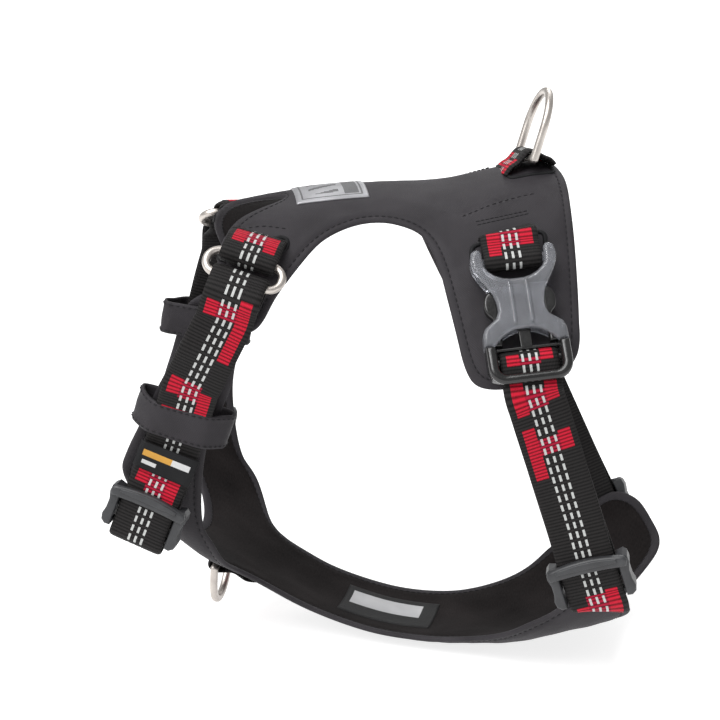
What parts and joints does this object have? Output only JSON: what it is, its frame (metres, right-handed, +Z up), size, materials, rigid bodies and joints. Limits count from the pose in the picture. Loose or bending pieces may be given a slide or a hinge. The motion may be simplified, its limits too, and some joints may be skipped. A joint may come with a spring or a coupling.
{
  "type": "dog harness",
  "caption": "Padded no-pull dog harness: back panel and Y-shaped chest plate joined by webbing straps with side-release buckles, sliders and D rings.",
  "frame": {"origin": "underside of the back panel over the dog's withers, where the harness rests on the dog", "axes": "+Z up, -X towards the dog's head, -Y the dog's left side"},
  "size_m": [0.2445, 0.1755, 0.238],
  "materials": {
    "shell_fabric": "woven coated nylon, matt charcoal",
    "foam": "soft foam padding",
    "lining": "brushed black lining",
    "webbing": "ribbed nylon webbing, black with red blocks and reflective threads",
    "reflective_patch": "silver-grey reflective patch",
    "care_tape": "satin care tape",
    "woven_label": "black woven label",
    "ring_metal": "satin nickel",
    "slider_plastic": "moulded dark grey acetal",
    "clear_plastic": "translucent smoke grey polycarbonate",
    "black_plastic": "glossy black acetal"
  },
  "bodies": {
    "harness": {"back_panel_shell": "shell_fabric", "back_panel_foam": "foam", "back_panel_lining": "lining", "chest_plate_shell": "shell_fabric", "chest_plate_foam": "foam", "chest_plate_lining": "lining", "back_label": "reflective_patch", "care_label": "care_tape", "leash_loop": "webbing", "chest_loop": "webbing", "left_shoulder_loop": "webbing", "left_neck_strap": "webbing", "left_neck_keeper": "shell_fabric", "left_strap_label": "woven_label", "left_buckle_loop": "webbing", "left_buckle_socket": "clear_plastic", "left_girth_strap": "webbing", "right_shoulder_loop": "webbing", "right_neck_strap": "webbing", "right_neck_keeper": "shell_fabric", "right_buckle_loop": "webbing", "right_buckle_socket": "clear_plastic", "right_girth_strap": "webbing"},
    "leash_ring": {"leash_ring": "ring_metal"},
    "chest_ring": {"chest_ring": "ring_metal"},
    "left_shoulder_ring": {"left_shoulder_ring": "ring_metal"},
    "left_neck_slider": {"left_neck_slider": "slider_plastic"},
    "left_plug": {"left_buckle_plug": "black_plastic"},
    "left_prong_front": {"left_prong_front": "black_plastic"},
    "left_prong_rear": {"left_prong_rear": "black_plastic"},
    "left_girth_slider": {"left_girth_slider": "slider_plastic"},
    "right_shoulder_ring": {"right_shoulder_ring": "ring_metal"},
    "right_neck_slider": {"right_neck_slider": "slider_plastic"},
    "right_plug": {"right_buckle_plug": "black_plastic"},
    "right_prong_front": {"right_prong_front": "black_plastic"},
    "right_prong_rear": {"right_prong_rear": "black_plastic"},
    "right_girth_slider": {"right_girth_slider": "slider_plastic"}
  },
  "joints": [
    {"name": "leash_ring_swing", "type": "hinge", "parent": "harness", "child": "leash_ring", "pos_m": [0.07005, 0.01076, 0.01457], "axis": [0.1463, -0.98, 0.1352], "range_deg": [-65, 60]},
    {"name": "chest_ring_swing", "type": "hinge", "parent": "harness", "child": "chest_ring", "pos_m": [-0.06192, 0.01221, -0.16635], "axis": [-0.1835, -0.976, -0.1175], "range_deg": [-50, 50]},
    {"name": "left_shoulder_ring_swing", "type": "hinge", "parent": "harness", "child": "left_shoulder_ring", "pos_m": [-0.04449, -0.04682, -0.01543], "axis": [-0.9455, 0.1489, 0.2896], "range_deg": [-8, 12], "deforming": ["left_neck_strap"]},
    {"name": "left_neck_slider_slide", "type": "slide", "parent": "harness", "child": "left_neck_slider", "axis": [0.3652, 0.0063, 0.9309], "range_m": [0, 0.006], "deforming": ["left_neck_strap"]},
    {"name": "left_buckle_release", "type": "slide", "parent": "harness", "child": "left_plug", "axis": [0.1284, -0.5589, -0.8193], "range_m": [0, 0.028], "deforming": ["left_girth_strap"]},
    {"name": "left_prong_front_squeeze", "type": "hinge", "parent": "left_plug", "child": "left_prong_front", "pos_m": [0.05424, -0.06964, -0.04568], "axis": [0.0078, -0.8255, 0.5643], "range_deg": [-9, 0], "stiffness_Nm_per_rad": 0.5},
    {"name": "left_prong_rear_squeeze", "type": "hinge", "parent": "left_plug", "child": "left_prong_rear", "pos_m": [0.07645, -0.06787, -0.0434], "axis": [0.0078, -0.8255, 0.5643], "range_deg": [0, 9], "stiffness_Nm_per_rad": 0.5},
    {"name": "left_girth_slider_slide", "type": "slide", "parent": "harness", "child": "left_girth_slider", "axis": [-0.3088, -0.0213, 0.9509], "range_m": [0, 0.03], "deforming": ["left_girth_strap"]},
    {"name": "right_shoulder_ring_swing", "type": "hinge", "parent": "harness", "child": "right_shoulder_ring", "pos_m": [-0.0525, 0.03787, -0.01561], "axis": [0.9327, 0.3447, -0.1063], "range_deg": [-8, 12], "deforming": ["right_neck_strap"]},
    {"name": "right_neck_slider_slide", "type": "slide", "parent": "harness", "child": "right_neck_slider", "axis": [0.1394, -0.3305, 0.9334], "range_m": [0, 0.006], "deforming": ["right_neck_strap"]},
    {"name": "right_buckle_release", "type": "slide", "parent": "harness", "child": "right_plug", "axis": [0.2608, 0.4185, -0.87], "range_m": [0, 0.028], "deforming": ["right_girth_strap"]},
    {"name": "right_prong_front_squeeze", "type": "hinge", "parent": "right_plug", "child": "right_prong_front", "pos_m": [0.04859, 0.07325, -0.04821], "axis": [-0.1743, 0.9067, 0.384], "range_deg": [0, 9], "stiffness_Nm_per_rad": 0.5},
    {"name": "right_prong_rear_squeeze", "type": "hinge", "parent": "right_plug", "child": "right_prong_rear", "pos_m": [0.06986, 0.0744, -0.04128], "axis": [-0.1743, 0.9067, 0.384], "range_deg": [-9, 0], "stiffness_Nm_per_rad": 0.5},
    {"name": "right_girth_slider_slide", "type": "slide", "parent": "harness", "child": "right_girth_slider", "axis": [-0.3991, 0.3714, 0.8383], "range_m": [0, 0.03], "deforming": ["right_girth_strap"]}
  ],
  "couplings": [
    {"joint": "left_prong_rear_squeeze", "follows": "left_prong_front_squeeze", "ratio": -1},
    {"joint": "right_prong_rear_squeeze", "follows": "right_prong_front_squeeze", "ratio": -1}
  ]
}
